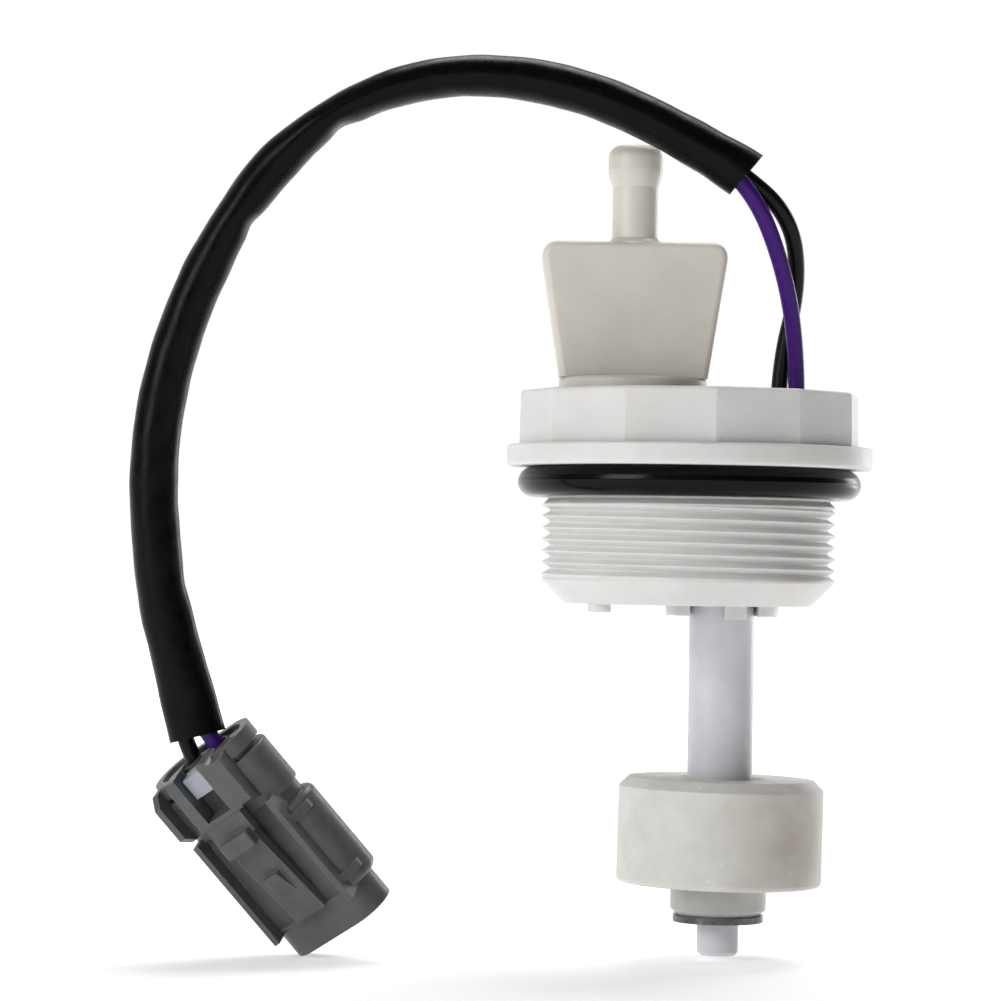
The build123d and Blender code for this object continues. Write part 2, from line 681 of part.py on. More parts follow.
# Stem: a closed tube with a nub that carries the washer
with BuildPart() as sensor_stem:
    with BuildSketch(STEM_SIDE):
        with BuildLine():
            Polyline(
                (STEM_BORE, STEM_TOP),
                (STEM_RADIUS, STEM_TOP),
                (STEM_RADIUS, STEM_END_AT),
                (NUB_RADIUS, STEM_END_AT),
                (NUB_RADIUS, NUB_BOTTOM + NUB_CHAMFER),
                (NUB_RADIUS - NUB_CHAMFER, NUB_BOTTOM),
                (0, NUB_BOTTOM),
                (0, STEM_END_AT + STEM_FLOOR),
                (STEM_BORE, STEM_END_AT + STEM_FLOOR),
                close=True,
            )
        make_face()
    revolve(axis=STEM_AXIS)
save(sensor_stem.part, "sensor_stem")

# Stop bush on the stem's end, under the float
with BuildPart() as stop_bush:
    with BuildSketch(STEM_SIDE):
        with BuildLine():
            Polyline(
                (STEM_RADIUS + BUSH_CLEARANCE, STEM_END_AT),
                (BUSH_RADIUS - BUSH_CHAMFER, STEM_END_AT),
                (BUSH_RADIUS, STEM_END_AT + BUSH_CHAMFER),
                (BUSH_RADIUS, BUSH_TOP),
                (STEM_RADIUS + BUSH_CLEARANCE, BUSH_TOP),
                close=True,
            )
        make_face()
    revolve(axis=STEM_AXIS)
save(stop_bush.part, "stop_bush")

# Push-on washer: a sheet disc with a turned-down rim and teeth that bend down round the nub
with BuildPart() as push_on_washer:
    with BuildSketch(STEM_SIDE):
        with BuildLine():
            Polyline(
                (WASHER_RADIUS, STEM_END_AT),
                (WASHER_TOOTH_ROOT, STEM_END_AT),
                (NUB_RADIUS + WASHER_CLEARANCE, STEM_END_AT - WASHER_TOOTH_DROP),
                (NUB_RADIUS + WASHER_CLEARANCE, STEM_END_AT - WASHER_TOOTH_DROP - WASHER_THICKNESS),
                (WASHER_TOOTH_ROOT, STEM_END_AT - WASHER_THICKNESS),
                (WASHER_RADIUS - WASHER_THICKNESS, STEM_END_AT - WASHER_THICKNESS),
                (WASHER_RADIUS - WASHER_THICKNESS, STEM_END_AT - WASHER_THICKNESS - WASHER_LIP),
                (WASHER_RADIUS, STEM_END_AT - WASHER_THICKNESS - WASHER_LIP),
                close=True,
            )
        make_face()
    revolve(axis=STEM_AXIS)
    with BuildSketch(Plane.XY.offset(STEM_END_AT)):
        with Locations((STEM_X, 0)):
            with PolarLocations(WASHER_TOOTH_ROOT / 2, WASHER_TEETH):
                Rectangle(WASHER_TOOTH_ROOT, WASHER_SLOT)
    extrude(amount=-2 * WASHER_TOOTH_DROP - WASHER_THICKNESS, mode=Mode.SUBTRACT)
save(push_on_washer.part, "push_on_washer")

# Float, which leans a little on the stop bush, with a groove for its magnet
with BuildPart() as float_ring:
    with BuildSketch(FLOAT_SIDE) as float_section:
        with BuildLine():
            Polyline(
                (FLOAT_BORE, 0),
                (FLOAT_RADIUS, 0),
                (FLOAT_RADIUS, FLOAT_HEIGHT - FLOAT_TOP_CHAMFER),
                (FLOAT_RADIUS - FLOAT_TOP_CHAMFER, FLOAT_HEIGHT),
                (FLOAT_BORE + FLOAT_BORE_CHAMFER, FLOAT_HEIGHT),
                (FLOAT_BORE, FLOAT_HEIGHT - FLOAT_BORE_CHAMFER),
                close=True,
            )
        make_face()
        with Locations((FLOAT_BORE, MAGNET_LIFT)):
            Rectangle(
                MAGNET_RADIUS + MAGNET_CLEARANCE - FLOAT_BORE,
                MAGNET_HEIGHT + MAGNET_CLEARANCE,
                align=(Align.MIN, Align.MIN),
                mode=Mode.SUBTRACT,
            )
        fillet(float_section.vertices().sort_by_distance((FLOAT_RADIUS, 0))[0], FLOAT_BOTTOM_EDGE)
    revolve(axis=FLOAT_AXIS)
save(float_ring.part, "float")

with BuildPart() as float_magnet:
    with BuildSketch(FLOAT_SIDE):
        with Locations((MAGNET_BORE, MAGNET_LIFT)):
            Rectangle(MAGNET_RADIUS - MAGNET_BORE, MAGNET_HEIGHT, align=(Align.MIN, Align.MIN))
    revolve(axis=FLOAT_AXIS)
save(float_magnet.part, "float_magnet")

# Reed switch: a glass tube closed round two flat blades
CAVITY_HALF = REED_LENGTH / 2 - REED_SEAL
with BuildPart() as reed_glass:
    with BuildSketch(REED_SIDE) as glass_section:
        with BuildLine():
            Polyline(
                (LEAD_RADIUS, REED_LENGTH / 2),
                (REED_RADIUS, REED_LENGTH / 2),
                (REED_RADIUS, -REED_LENGTH / 2),
                (LEAD_RADIUS, -REED_LENGTH / 2),
                (LEAD_RADIUS, -CAVITY_HALF),
                (REED_RADIUS - REED_WALL, -CAVITY_HALF),
                (REED_RADIUS - REED_WALL, CAVITY_HALF),
                (LEAD_RADIUS, CAVITY_HALF),
                close=True,
            )
        make_face()
        glass_corners = glass_section.vertices().filter_by(
            lambda corner: corner.X > REED_RADIUS - REED_WALL / 2
        )
        fillet(glass_corners, REED_END_ROUND)
    revolve(axis=REED_AXIS)
save(reed_glass.part, "reed_glass")

upper_lead_points = [
    (STEM_X, REED_Y, REED_MIDDLE_AT + CAVITY_HALF - REED_WALL),
    (STEM_X, REED_Y, LEAD_CROSSING_AT),
    (BLACK_EXIT[0] + LEAD_OVERRUN, REED_Y, LEAD_CROSSING_AT),
]
return_lead_points = [
    (STEM_X, REED_Y + 2 * LEAD_RADIUS, RETURN_BEND_AT),
    (STEM_X, RETURN_Y, RETURN_BEND_AT),
    (STEM_X, RETURN_Y, LEAD_CROSSING_AT),
    (VIOLET_EXIT[0] + LEAD_OVERRUN, RETURN_Y, LEAD_CROSSING_AT),
]
upper_lead = lead_along(upper_lead_points)
return_lead = lead_along(return_lead_points)

BLADE_SHIFT = (BLADE_THICKNESS + BLADE_GAP) / 2
BLADE_LENGTH = CAVITY_HALF + BLADE_OVERLAP / 2
with BuildPart() as reed_blade_upper:
    add(upper_lead)
    with Locations((STEM_X + BLADE_SHIFT, REED_Y, REED_MIDDLE_AT + CAVITY_HALF - BLADE_LENGTH)):
        Box(BLADE_THICKNESS, BLADE_WIDTH, BLADE_LENGTH, align=(Align.CENTER, Align.CENTER, Align.MIN))
save(reed_blade_upper.part, "reed_blade_upper")

with BuildPart() as reed_blade_lower:
    with BuildSketch(Plane.XY.offset(REED_MIDDLE_AT - CAVITY_HALF + REED_WALL)):
        with Locations((STEM_X, REED_Y)):
            Circle(LEAD_RADIUS)
    extrude(amount=RETURN_BEND_AT + LEAD_RADIUS - (REED_MIDDLE_AT - CAVITY_HALF + REED_WALL))
    with Locations((STEM_X - BLADE_SHIFT, REED_Y, REED_MIDDLE_AT - CAVITY_HALF)):
        Box(BLADE_THICKNESS, BLADE_WIDTH, BLADE_LENGTH, align=(Align.CENTER, Align.CENTER, Align.MIN))
save(reed_blade_lower.part, "reed_blade_lower")
save(return_lead, "return_lead")

# Insulation on the return lead, where it passes the switch
with BuildPart() as lead_sleeve:
    with BuildSketch(Plane.XY.offset(LEAD_SLEEVE_BOTTOM)):
        with Locations((STEM_X, RETURN_Y)):
            Circle(LEAD_SLEEVE_RADIUS)
            Circle(LEAD_RADIUS, mode=Mode.SUBTRACT)
    extrude(amount=LEAD_SLEEVE_TOP - LEAD_SLEEVE_BOTTOM)
save(lead_sleeve.part, "lead_sleeve")

# Resin in the wire well
with BuildPart() as potting_resin:
    with BuildSketch(Plane.XY.offset(STEM_TOP)):
        with Locations(((WELL_NEAR_X + WELL_FAR_X) / 2, 0)):
            SlotCenterToCenter(WELL_FAR_X - WELL_NEAR_X, 2 * WELL_RADIUS)
    extrude(amount=RESIN_TOP - STEM_TOP)
    for sunk_piece in (black_wire, violet_wire, upper_lead, return_lead):
        add(sunk_piece, mode=Mode.SUBTRACT)
save(potting_resin.part, "potting_resin")

# Connector housing: barrel, shoulder, skirt, latch lever, frame, rails and guard in one moulding
rim_end = RIM_LENGTH + GROOVE_LENGTH
front_shoulder = drum(SHOULDER_START, SHOULDER_WIDTH, BARREL_HEIGHT, SHOULDER_END, SHOULDER_EDGE)
rear_barrel = drum(rim_end, BARREL_WIDTH, BARREL_HEIGHT, BARREL_END, BARREL_EDGE)
thumb_block = slab(THUMB_START, THUMB_END, THUMB_HALF_WIDTH, TONGUE_UNDER, THUMB_TOP, THUMB_EDGE)


def tongue_top(station):
    """Height of the latch lever's sloping top at a station."""
    share = (station - THUMB_END) / (TROUGH_END - THUMB_END)
    return TONGUE_TOP + (TONGUE_END_TOP - TONGUE_TOP) * share


with BuildPart() as connector_housing:
    add(rear_barrel)
    add(front_shoulder)
    extrude(racetrack(0, RIM_WIDTH, RIM_HEIGHT), amount=RIM_LENGTH)
    groove_width = RIM_WIDTH - 2 * GROOVE_DEPTH
    groove_height = RIM_HEIGHT - 2 * GROOVE_DEPTH
    extrude(racetrack(0, groove_width, groove_height), amount=SHOULDER_START)
    barrel_inside = BARREL_END - OVERLAP
    extrude(racetrack(barrel_inside, SKIRT_WIDTH, SKIRT_HEIGHT), amount=HOUSING_LENGTH - barrel_inside)

    # Latch frame over the rear barrel, open at the rear for the retainer's tab
    frame_behind = FRAME_START - OVERLAP
    with BuildSketch(top_view(FRAME_FOOT)) as frame_plan:
        with BuildLine():
            Polyline(
                (FRAME_START, -FRAME_HALF_WIDTH),
                (FRAME_END, -FRAME_HALF_WIDTH),
                (FRAME_END, FRAME_HALF_WIDTH),
                (FRAME_START, FRAME_HALF_WIDTH),
                close=True,
            )
        make_face()
        fillet(frame_plan.vertices().group_by(Axis.X)[0], FRAME_CORNER)
    extrude(amount=FRAME_TOP - FRAME_FOOT)
    extrude(side_outline(SIDE_WALL, SIDE_WALL_ACROSS), amount=SIDE_WALL_ACROSS - WINDOW_HALF_WIDTH)
    extrude(
        block(frame_behind, -WINDOW_HALF_WIDTH, WINDOW_HALF_WIDTH, WINDOW_FLOOR, FRAME_TOP + OVERLAP),
        amount=WINDOW_END - frame_behind,
        mode=Mode.SUBTRACT,
    )

    # Trough round the latch lever, then the lever, which springs from the trough's front end
    extrude(
        block(TROUGH_START, -TROUGH_HALF_WIDTH, TROUGH_HALF_WIDTH, TROUGH_FLOOR, THUMB_TOP),
        amount=TROUGH_END - TROUGH_START,
        mode=Mode.SUBTRACT,
    )
    lever_side = [
        (LEVER_START, TONGUE_UNDER),
        (LEVER_START, TONGUE_TOP),
        (THUMB_END, TONGUE_TOP),
        (TROUGH_END, TONGUE_END_TOP),
        (TROUGH_END, TROUGH_FLOOR - OVERLAP),
        (TONGUE_ROOT, TROUGH_FLOOR - OVERLAP),
        (TONGUE_ROOT, TONGUE_ROOT_UNDER),
    ]
    extrude(side_outline(lever_side, TONGUE_HALF_WIDTH), amount=2 * TONGUE_HALF_WIDTH)
    extrude(
        block(LEVER_START, -LEVER_PLATE_HALF_WIDTH, LEVER_PLATE_HALF_WIDTH, TONGUE_UNDER, TONGUE_TOP),
        amount=LEVER_PLATE_END - LEVER_START,
    )
    bump_side = [
        (BUMP_START, tongue_top(BUMP_START) - BUMP_HEIGHT / 2),
        (BUMP_START, tongue_top(BUMP_START) + BUMP_HEIGHT),
        (BUMP_END, tongue_top(BUMP_END)),
        (BUMP_END, tongue_top(BUMP_END) - BUMP_HEIGHT / 2),
    ]
    extrude(side_outline(bump_side, BUMP_HALF_WIDTH), amount=2 * BUMP_HALF_WIDTH)
    add(thumb_block)

    # A leg from the frame beside the lever, then rails by the trough with cross ribs to the shoulder
    extrude(
        block(WINDOW_END, -FRAME_HALF_WIDTH, -LEG_NEAR, FRAME_FOOT, LEG_TOP), amount=LEG_END - WINDOW_END
    )
    for side in (-1, 1):
        rail = sorted((side * RAIL_NEAR, side * RAIL_FAR))
        extrude(block(barrel_inside, *rail, RAIL_FOOT, RAIL_TOP), amount=RAIL_END - barrel_inside)
        for station in CROSS_RIB_STATIONS:
            with BuildSketch(cross_section(station)):
                with BuildLine():
                    Polyline(
                        (side * RAIL_NEAR, RAIL_FOOT),
                        (side * RAIL_NEAR, RAIL_TOP - CROSS_RIB_DROP),
                        (side * CROSS_RIB_REACH, CROSS_RIB_END_HEIGHT),
                        (side * CROSS_RIB_REACH, 0),
                        (side * RAIL_NEAR, 0),
                        close=True,
                    )
                make_face()
            extrude(amount=CROSS_RIB_THICKNESS)
    extrude(side_outline(GUARD_SIDE, -GUARD_NEAR), amount=GUARD_FAR - GUARD_NEAR)

    # Rear pocket, tab channel, wire cavities, terminal passages and pin holes
    extrude(racetrack(0, POCKET_WIDTH, POCKET_HEIGHT), amount=POCKET_DEPTH, mode=Mode.SUBTRACT)
    tab_room = TAB_HALF_WIDTH + RETAINER_CLEARANCE
    extrude(
        block(frame_behind, -tab_room, tab_room, 0, TAB_LIFT + TAB_THICKNESS + RETAINER_CLEARANCE),
        amount=RETAINER_SUNK + TAB_THICKNESS + RETAINER_CLEARANCE - frame_behind,
        mode=Mode.SUBTRACT,
    )
    for across in CAVITY_PLACES.values():
        with BuildSketch(cross_section(POCKET_DEPTH, across)):
            Circle(CAVITY_RADIUS)
        extrude(amount=CAVITY_END - POCKET_DEPTH, mode=Mode.SUBTRACT)
        with BuildSketch(cross_section(CAVITY_END, across)):
            Rectangle(PASSAGE_SIZE, PASSAGE_SIZE)
        extrude(amount=PASSAGE_END - CAVITY_END, mode=Mode.SUBTRACT)
        with BuildSketch(cross_section(PASSAGE_END, across)):
            Circle(PIN_HOLE)
        extrude(amount=HOUSING_LENGTH - PASSAGE_END, mode=Mode.SUBTRACT)

    # Mouth: a gap round the core, and the core's sunk face
    with BuildSketch(cross_section(SOCKET_FLOOR)):
        SlotOverall(SKIRT_WIDTH - 2 * SKIRT_WALL, SKIRT_HEIGHT - 2 * SKIRT_WALL)
        SlotOverall(CORE_WIDTH, CORE_HEIGHT, mode=Mode.SUBTRACT)
    extrude(amount=HOUSING_LENGTH - SOCKET_FLOOR, mode=Mode.SUBTRACT)
    with BuildSketch(cross_section(CORE_FRONT)):
        SlotOverall(SKIRT_WIDTH - 2 * SKIRT_WALL, SKIRT_HEIGHT - 2 * SKIRT_WALL)
    extrude(amount=HOUSING_LENGTH - CORE_FRONT, mode=Mode.SUBTRACT)
save(connector_housing.part, "connector_housing")

# Retainer: a plate in the rear pocket whose tab folds up into the window
with BuildPart() as rear_retainer:
    with BuildSketch(cross_section(RETAINER_SUNK)):
        SlotOverall(POCKET_WIDTH - 2 * RETAINER_CLEARANCE, POCKET_HEIGHT - 2 * RETAINER_CLEARANCE)
    extrude(amount=RETAINER_THICKNESS)
    tab_side = [
        (RETAINER_SUNK, POCKET_HEIGHT / 2 - OVERLAP),
        (RETAINER_SUNK, TAB_LIFT + TAB_THICKNESS),
        (RETAINER_SUNK + TAB_THICKNESS + TAB_REACH, TAB_LIFT + TAB_THICKNESS),
        (RETAINER_SUNK + TAB_THICKNESS + TAB_REACH, TAB_LIFT),
        (RETAINER_SUNK + TAB_THICKNESS, TAB_LIFT),
        (RETAINER_SUNK + TAB_THICKNESS, POCKET_HEIGHT / 2 - OVERLAP),
    ]
    extrude(side_outline(tab_side, TAB_HALF_WIDTH), amount=2 * TAB_HALF_WIDTH)
    for across in CAVITY_PLACES.values():
        with BuildSketch(cross_section(0, across)):
            Circle(WIRE_SEAL_RADIUS + SEAL_HOLE_CLEARANCE)
        extrude(amount=POCKET_DEPTH, mode=Mode.SUBTRACT)
save(rear_retainer.part, "rear_retainer")

# On each wire: a seal in the cavity, with a funnel at its rear, and a crimped terminal
for colour, across in CAVITY_PLACES.items():
    cavity_axis = Axis(tuple(in_connector(0, across)), tuple(AXIS))
    with BuildPart() as wire_seal:
        with BuildSketch(side_view(across)):
            with BuildLine():
                Polyline(
                    (SEAL_START, WIRE_SEAL_MOUTH),
                    (WIRE_SEAL_GRIP, WIRE_RADIUS),
                    (WIRE_SEAL_END, WIRE_RADIUS),
                    (WIRE_SEAL_END, WIRE_SEAL_RADIUS),
                    (SEAL_START, WIRE_SEAL_RADIUS),
                    close=True,
                )
            make_face()
        revolve(axis=cavity_axis)
    save(wire_seal.part, f"wire_seal_{colour}")
    with BuildPart() as terminal:
        with BuildSketch(cross_section(ROUTE_END - CRIMP_LENGTH, across)):
            Circle(WIRE_RADIUS + CRIMP_WALL)
        extrude(amount=CRIMP_LENGTH + CRIMP_END_WALL)
        with BuildSketch(cross_section(ROUTE_END - CRIMP_LENGTH, across)):
            Circle(WIRE_RADIUS)
        extrude(amount=CRIMP_LENGTH, mode=Mode.SUBTRACT)
        with BuildSketch(cross_section(ROUTE_END, across)):
            Rectangle(TERMINAL_SIZE, TERMINAL_SIZE)
        extrude(amount=TERMINAL_LENGTH)
        with BuildSketch(cross_section(ROUTE_END + TERMINAL_LENGTH, across)):
            Circle(TERMINAL_BORE)
        extrude(amount=-TERMINAL_LENGTH / 2, mode=Mode.SUBTRACT)
    save(terminal.part, f"terminal_{colour}")

# Seal ring round the foot of the core
with BuildPart() as connector_seal:
    with BuildSketch(cross_section(SOCKET_FLOOR)):
        SlotOverall(
            SKIRT_WIDTH - 2 * SKIRT_WALL - 2 * MOUTH_SEAL_FIT,
            SKIRT_HEIGHT - 2 * SKIRT_WALL - 2 * MOUTH_SEAL_FIT,
        )
        SlotOverall(CORE_WIDTH, CORE_HEIGHT, mode=Mode.SUBTRACT)
    extrude(amount=MOUTH_SEAL_LENGTH)
save(connector_seal.part, "connector_seal")
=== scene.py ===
"""Finish, thread, wires and sleeve of a water-in-fuel sensor, in metres, on the fixed frame."""

import math

import bmesh
import bpy
from mathutils import Matrix, Vector


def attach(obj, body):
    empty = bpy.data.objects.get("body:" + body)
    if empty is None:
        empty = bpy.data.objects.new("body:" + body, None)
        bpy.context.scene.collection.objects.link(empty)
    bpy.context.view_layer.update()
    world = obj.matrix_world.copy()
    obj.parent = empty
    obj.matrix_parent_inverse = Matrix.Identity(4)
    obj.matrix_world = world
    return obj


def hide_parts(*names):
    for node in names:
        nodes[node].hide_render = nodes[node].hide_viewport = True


MM = 0.001
FLOOR_HEIGHT = -63.7

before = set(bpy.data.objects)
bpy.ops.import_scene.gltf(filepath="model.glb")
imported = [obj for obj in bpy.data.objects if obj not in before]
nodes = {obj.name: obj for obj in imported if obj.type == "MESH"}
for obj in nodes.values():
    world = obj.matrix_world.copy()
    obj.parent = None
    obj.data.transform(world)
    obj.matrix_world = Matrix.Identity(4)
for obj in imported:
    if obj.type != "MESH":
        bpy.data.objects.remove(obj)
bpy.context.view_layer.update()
scene = bpy.context.scene


# Camera: the photograph's view, a long lens a little above the middle of the stem
CAMERA_PLACE = (-24.47, -480.0, -11.85)
CAMERA_PITCH = 0.0153
CAMERA_ROLL = 0.0148
FOCAL_LENGTH = 132.85
FRAME_WIDTH = 36.0

forward = Vector((0, math.cos(CAMERA_PITCH), math.sin(CAMERA_PITCH)))
upright = Vector((0, -math.sin(CAMERA_PITCH), math.cos(CAMERA_PITCH)))
sideways = Vector((1, 0, 0))
image_right = sideways * math.cos(CAMERA_ROLL) + upright * math.sin(CAMERA_ROLL)
image_up = upright * math.cos(CAMERA_ROLL) - sideways * math.sin(CAMERA_ROLL)
lens = bpy.data.cameras.new("view")
lens.lens = FOCAL_LENGTH
lens.sensor_width = FRAME_WIDTH
lens.clip_start = 0.01
lens.clip_end = 20
camera = bpy.data.objects.new("view", lens)
camera.matrix_world = Matrix.Translation(Vector(CAMERA_PLACE) * MM) @ Matrix(
    (image_right, image_up, -forward)
).transposed().to_4x4()
scene.collection.objects.link(camera)
scene.camera = camera


# Routes of the wires and the sleeve in millimetres: the solids' points, but for the violet wire's
# last free point and the sleeve's lower end, which follow the photograph more closely
ARCH = [
    (-3.6, 43.5),
    (-17.6, 49.0),
    (-32.3, 50.0),
    (-46.0, 45.4),
    (-57.2, 34.8),
    (-65.5, 18.4),
    (-69.2, 1.4),
    (-67.9, -15.7),
]
BLACK_LAYER = -7.85
SLEEVE_LAYER = -9.0
VIOLET_LAYER = -10.15
WIRE_RADIUS = 1.075


def along_arch(layer):
    return [(x, layer, z) for x, z in ARCH]


BLACK_ROUTE = [
    (11.4, 0.4, 3.0),
    (11.3, 0.5, 12.5),
    (13.9, -1.4, 24.0),
    (12.3, -5.6, 32.6),
    (5.2, -7.85, 38.3),
    *along_arch(BLACK_LAYER),
    (-65.2, -7.9, -28.4),
    (-64.202, -8.069, -38.251),
    (-58.218, -6.175, -45.382),
]
VIOLET_ROUTE = [
    (13.8, -0.5, 3.0),
    (13.9, -1.2, 13.0),
    (11.9, -5.2, 25.0),
    (6.8, -9.7, 36.4),
    *along_arch(VIOLET_LAYER),
    (-64.3, -10.1, -27.2),
    (-63.1, -9.95, -31.7),
    (-60.628, -10.131, -35.799),
    (-54.644, -8.237, -42.930),
]
SLEEVE_ROUTE = [
    (6.3, -9.0, 37.4),
    *along_arch(SLEEVE_LAYER),
    (-65.25, -9.0, -25.5),
    (-62.6, -9.0, -35.2),
]


def route_curve(name, route, radius):
    curve = bpy.data.curves.new(name, "CURVE")
    curve.dimensions = "3D"
    curve.resolution_u = 24
    curve.bevel_depth = radius * MM
    curve.bevel_resolution = 9
    curve.use_fill_caps = radius > 0
    spline = curve.splines.new("NURBS")
    spline.points.add(len(route) - 1)
    for point, place in zip(spline.points, route):
        point.co = (*(Vector(place) * MM), 1)
    spline.order_u = 3
    spline.use_endpoint_u = True
    wire = bpy.data.objects.new(name, curve)
    scene.collection.objects.link(wire)
    return wire


def line_of(route):
    """The points of the route's own smooth line, in millimetres."""
    guide = route_curve("guide", route, 0)
    mesh = bpy.data.meshes.new_from_object(guide)
    line = [vertex.co / MM for vertex in mesh.vertices]
    curve = guide.data
    bpy.data.objects.remove(guide)
    bpy.data.curves.remove(curve)
    bpy.data.meshes.remove(mesh)
    return line


def evenly(line, step):
    """The same line in equal steps: each place, its direction and how far along it is."""
    reach = [0.0]
    for before, after in zip(line, line[1:]):
        reach.append(reach[-1] + (after - before).length)
    count = max(2, round(reach[-1] / step))
    places = []
    at = 0
    for number in range(count + 1):
        target = reach[-1] * number / count
        while at < len(line) - 2 and reach[at + 1] < target:
            at += 1
        share = (target - reach[at]) / max(reach[at + 1] - reach[at], 1e-9)
        places.append(line[at].lerp(line[at + 1], share))
    directions = []
    for number in range(count + 1):
        before = places[max(number - 1, 0)]
        after = places[min(number + 1, count)]
        directions.append((after - before).normalized())
    return places, directions, [reach[-1] * number / count for number in range(count + 1)]


def blend_table(table, value):
    """Smooth value between the rows of a table of (station, amount)."""
    if value <= table[0][0]:
        return table[0][1]
    for (start, low), (end, high) in zip(table, table[1:]):
        if value <= end:
            share = (value - start) / max(end - start, 1e-9)
            share = share * share * (3 - 2 * share)
            return low + (high - low) * share
    return table[-1][1]


def new_piece(name, mesh):
    piece = bpy.data.objects.new(name, mesh)
    scene.collection.objects.link(piece)
    return piece


# Sleeve: a soft tube that flattens where it bends, with a cut end at each side
SLEEVE_WIDTHS = [
    ((6.3, 37.4), 6.5),
    ((1.0, 40.6), 6.0),
    ((-3.6, 43.3), 5.7),
    ((-17.6, 48.6), 5.6),
    ((-32.3, 49.4), 5.15),
    ((-46.4, 44.6), 4.5),
    ((-54.8, 36.5), 5.6),
    ((-58.7, 31.5), 5.2),
    ((-63.0, 23.0), 5.8),
    ((-68.4, 6.0), 6.1),
    ((-68.5, -10.0), 6.2),
    ((-66.4, -22.0), 6.6),
    ((-62.6, -35.2), 7.3),
]
# Half the width in the route's plane and half the width across it add up to this
SLEEVE_HALVES = 6.45
SLEEVE_WALL = 0.42
SLEEVE_SLANT = 0.15
SLEEVE_FOLDS = [((-46.4, 44.6), 0.55, 1.9), ((-58.7, 31.5), 0.4, 1.5), ((-67.6, -16.0), 0.18, 2.4)]
SLEEVE_SHARP_ANGLE = 50
AROUND_SLEEVE = 56
SLEEVE_STEP = 0.4
RIPPLE_DEPTH = 0.035
RIPPLE_ALONG = 0.9
RIPPLE_TWIST = 2.0
RIPPLE_DRIFT = 0.21


def nearest_station(places, stations, x, z):
    flat = [(place.x - x) ** 2 + (place.z - z) ** 2 for place in places]
    return stations[flat.index(min(flat))]


def band_between(mesh, first, second, reverse):
    """Faces between two closed rings with the same number of points."""
    count = len(first)
    for turn in range(count):
        after = (turn + 1) % count
        corners = [first[turn], first[after], second[after], second[turn]]
        mesh.faces.new(corners[::-1] if reverse else corners)


def ripple_of(angle, station):
    """Slight unevenness of the sleeve's skin, in waves that run along it and round it."""
    along = math.sin(station * RIPPLE_ALONG + RIPPLE_TWIST * math.sin(angle))
    around = math.sin(angle * 2 + station * RIPPLE_DRIFT)
    return RIPPLE_DEPTH * along * around


def sleeve_ring(mesh, place, direction, station, half_width, inset, slant, folds):
    """One oval ring of the sleeve's skin, dented on the outer side of each fold."""
    across = (Vector((0, 1, 0)) - direction * direction.y).normalized()
    outward = direction.cross(across)
    ring = []
    for turn in range(AROUND_SLEEVE):
        angle = math.tau * turn / AROUND_SLEEVE
        ripple = ripple_of(angle, station)
        dent = 0.0
        for fold, deep, long in folds:
            near = math.exp(-(((station - fold) / long) ** 2))
            dent += deep * near * max(0.0, math.cos(angle)) ** 2
        lift = (half_width - inset + ripple) * math.cos(angle) - dent
        side = (SLEEVE_HALVES - half_width - inset + ripple) * math.sin(angle)
        spot = place + outward * lift + across * side + direction * (slant * lift)
        ring.append(mesh.verts.new(spot * MM))
    return ring


def sleeve_mesh():
    """The sleeve's mesh, the points that it follows and its length."""
    places, directions, stations = evenly(line_of(SLEEVE_ROUTE), SLEEVE_STEP)
    widths = [(nearest_station(places, stations, *spot), width) for spot, width in SLEEVE_WIDTHS]
    folds = [(nearest_station(places, stations, *spot), deep, long) for spot, deep, long in SLEEVE_FOLDS]
    mesh = bmesh.new()
    skins = []
    for inset in (0.0, SLEEVE_WALL):
        rings = []
        for number, (place, direction, station) in enumerate(zip(places, directions, stations)):
            half_width = blend_table(widths, station) / 2
            slant = SLEEVE_SLANT if number == 0 else 0.0
            rings.append(sleeve_ring(mesh, place, direction, station, half_width, inset, slant, folds))
        skins.append(rings)
    outer, inner = skins
    for skin in skins:
        for first, second in zip(skin, skin[1:]):
            band_between(mesh, first, second, skin is inner)
    band_between(mesh, outer[0], inner[0], True)
    band_between(mesh, outer[-1], inner[-1], False)
    bmesh.ops.recalc_face_normals(mesh, faces=mesh.faces)
    for face in mesh.faces:
        face.smooth = True
    made = bpy.data.meshes.new("wire_sleeve_soft")
    mesh.to_mesh(made)
    mesh.free()
    made.set_sharp_from_angle(angle=math.radians(SLEEVE_SHARP_ANGLE))
    return made, [place * MM for place in places], stations[-1] * MM


# Thread: cut into a copy of the head where the crest cylinder is
CREST_RADIUS = 19.0
THREAD_START = -4.9
THREAD_END = -14.65
PITCH = 1.5
THREAD_DEPTH = 0.98
CREST_FLAT = 0.08
ROOT_FLAT = 0.16
FIRST_CREST = -5.62
AROUND_THREAD = 288
ROWS_PER_PITCH = 14
RUN_IN_LENGTH = 0.5
FADE_LENGTH = 1.1
WELD_DISTANCE = 0.002
CREST_TOLERANCE = 0.03
HEIGHT_TOLERANCE = 0.02
THREAD_SHARP_ANGLE = 28


def thread_cut(angle, height):
    """How deep the groove is at an angle and height: a sharp V with a narrow crest."""
    phase = (height - FIRST_CREST) / PITCH + angle / math.tau
    off_crest = abs(phase - round(phase)) * 2
    rise = (off_crest - CREST_FLAT) / (1 - CREST_FLAT - ROOT_FLAT)
    rise = min(max(rise, 0.0), 1.0)
    top_fade = min(max((THREAD_START - height) / RUN_IN_LENGTH, 0.0), 1.0)
    end_fade = min(max((height - THREAD_END) / FADE_LENGTH, 0.0), 1.0)
    return THREAD_DEPTH * rise * top_fade * end_fade


def at_crest(vertex):
    return abs(math.hypot(*vertex.co.xy) / MM - CREST_RADIUS) < CREST_TOLERANCE


